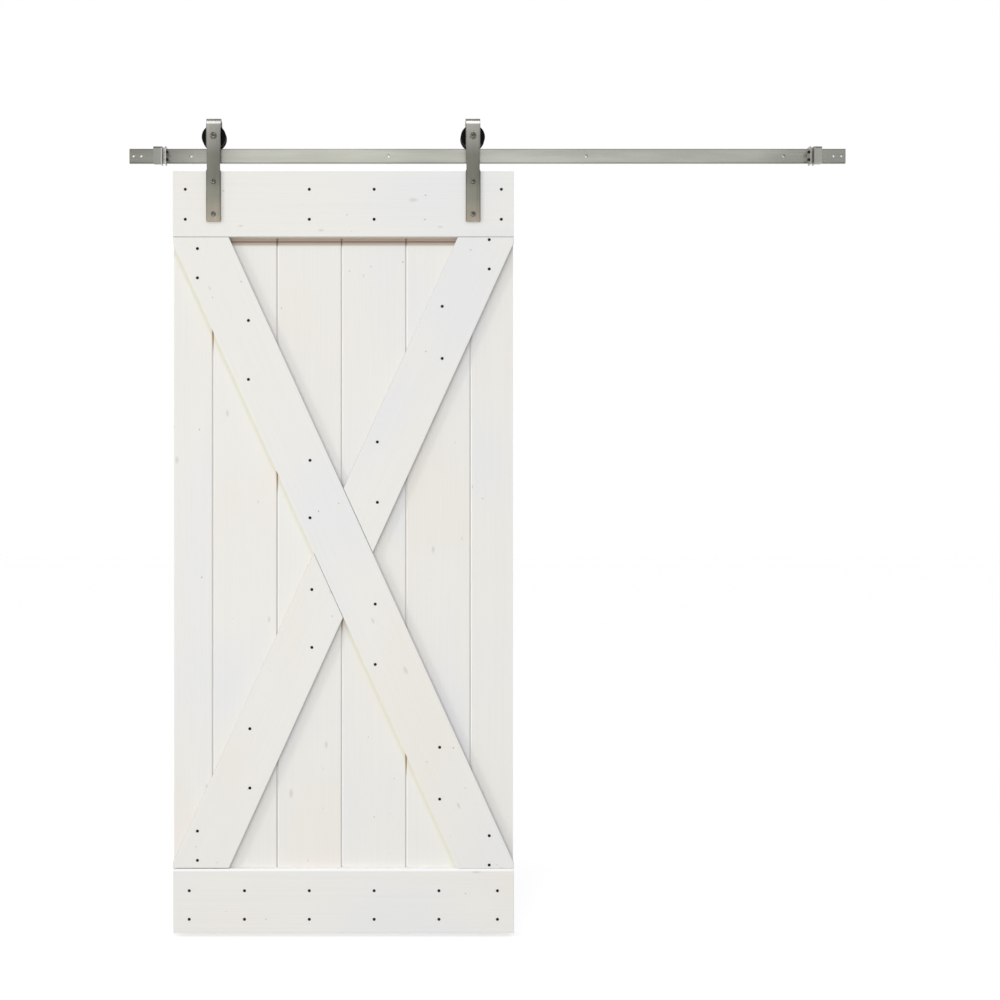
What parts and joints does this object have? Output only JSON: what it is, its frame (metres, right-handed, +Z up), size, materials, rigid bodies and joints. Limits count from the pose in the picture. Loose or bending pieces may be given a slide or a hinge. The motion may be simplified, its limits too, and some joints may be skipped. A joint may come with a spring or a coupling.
{
  "type": "sliding barn door",
  "caption": "Board-and-brace sliding barn door hung from two strap hangers with grooved wheels on a flat wall-mounted bar with end stops.",
  "frame": {"origin": "centre of the bar's row of wall holes, on the wall plane", "axes": "+X along the bar, to the right for a person facing the door; +Y into the wall; +Z up"},
  "size_m": [2.012, 0.0651, 2.2842],
  "materials": {
    "painted_pine": "white primer paint over knotty pine",
    "brushed_steel_bar": "satin, brushed lengthways",
    "brushed_steel_strap": "satin, brushed lengthways",
    "stop_steel": "satin",
    "bright_bolt_steel": "polished",
    "bearing_steel": "ground",
    "dark_screw_steel": "black oxide",
    "black_nail_steel": "black oxide",
    "black_nylon": "moulded nylon",
    "black_rubber": "moulded rubber"
  },
  "bodies": {
    "track": {"rail": "brushed_steel_bar", "spacer_1": "brushed_steel_bar", "spacer_2": "brushed_steel_bar", "spacer_3": "brushed_steel_bar", "spacer_4": "brushed_steel_bar", "left_stop_saddle": "stop_steel", "left_stop_carrier": "stop_steel", "left_stop_bumpers": "black_rubber", "left_stop_screws": "dark_screw_steel", "right_stop_saddle": "stop_steel", "right_stop_carrier": "stop_steel", "right_stop_bumpers": "black_rubber", "right_stop_screws": "dark_screw_steel"},
    "door": {"board_1": "painted_pine", "board_2": "painted_pine", "board_3": "painted_pine", "board_4": "painted_pine", "board_5": "painted_pine", "board_6": "painted_pine", "top_rail": "painted_pine", "bottom_rail": "painted_pine", "long_brace": "painted_pine", "upper_brace": "painted_pine", "lower_brace": "painted_pine", "top_rail_nails": "black_nail_steel", "bottom_rail_nails": "black_nail_steel", "long_brace_nails": "black_nail_steel", "upper_brace_nails": "black_nail_steel", "lower_brace_nails": "black_nail_steel", "left_strap": "brushed_steel_strap", "left_axle_bolt": "bright_bolt_steel", "left_axle_washer": "bright_bolt_steel", "left_axle_nut": "bright_bolt_steel", "left_front_bush": "bearing_steel", "left_rear_bush": "bearing_steel", "left_bearing_inner_ring": "bearing_steel", "left_door_bolts": "bright_bolt_steel", "left_door_washers": "bright_bolt_steel", "left_door_nuts": "bright_bolt_steel", "right_strap": "brushed_steel_strap", "right_axle_bolt": "bright_bolt_steel", "right_axle_washer": "bright_bolt_steel", "right_axle_nut": "bright_bolt_steel", "right_front_bush": "bearing_steel", "right_rear_bush": "bearing_steel", "right_bearing_inner_ring": "bearing_steel", "right_door_bolts": "bright_bolt_steel", "right_door_washers": "bright_bolt_steel", "right_door_nuts": "bright_bolt_steel"},
    "wheel_left": {"left_wheel": "black_nylon", "left_bearing_outer_ring": "bearing_steel", "left_bearing_balls": "bearing_steel", "left_bearing_shields": "bearing_steel"},
    "wheel_right": {"right_wheel": "black_nylon", "right_bearing_outer_ring": "bearing_steel", "right_bearing_balls": "bearing_steel", "right_bearing_shields": "bearing_steel"}
  },
  "joints": [
    {"name": "door_slide", "type": "slide", "parent": "track", "child": "door", "axis": [1, 0, 0], "range_m": [-0.1058, 0.9153]},
    {"name": "left_wheel_spin", "type": "hinge", "parent": "door", "child": "wheel_left", "pos_m": [-0.76775, -0.041, 0.0512], "axis": [0, 1, 0], "continuous": true},
    {"name": "right_wheel_spin", "type": "hinge", "parent": "door", "child": "wheel_right", "pos_m": [-0.04175, -0.041, 0.0512], "axis": [0, 1, 0], "continuous": true}
  ],
  "couplings": [
    {"joint": "left_wheel_spin", "follows": "door_slide", "rad_per_m": 32.258},
    {"joint": "right_wheel_spin", "follows": "door_slide", "rad_per_m": 32.258}
  ]
}
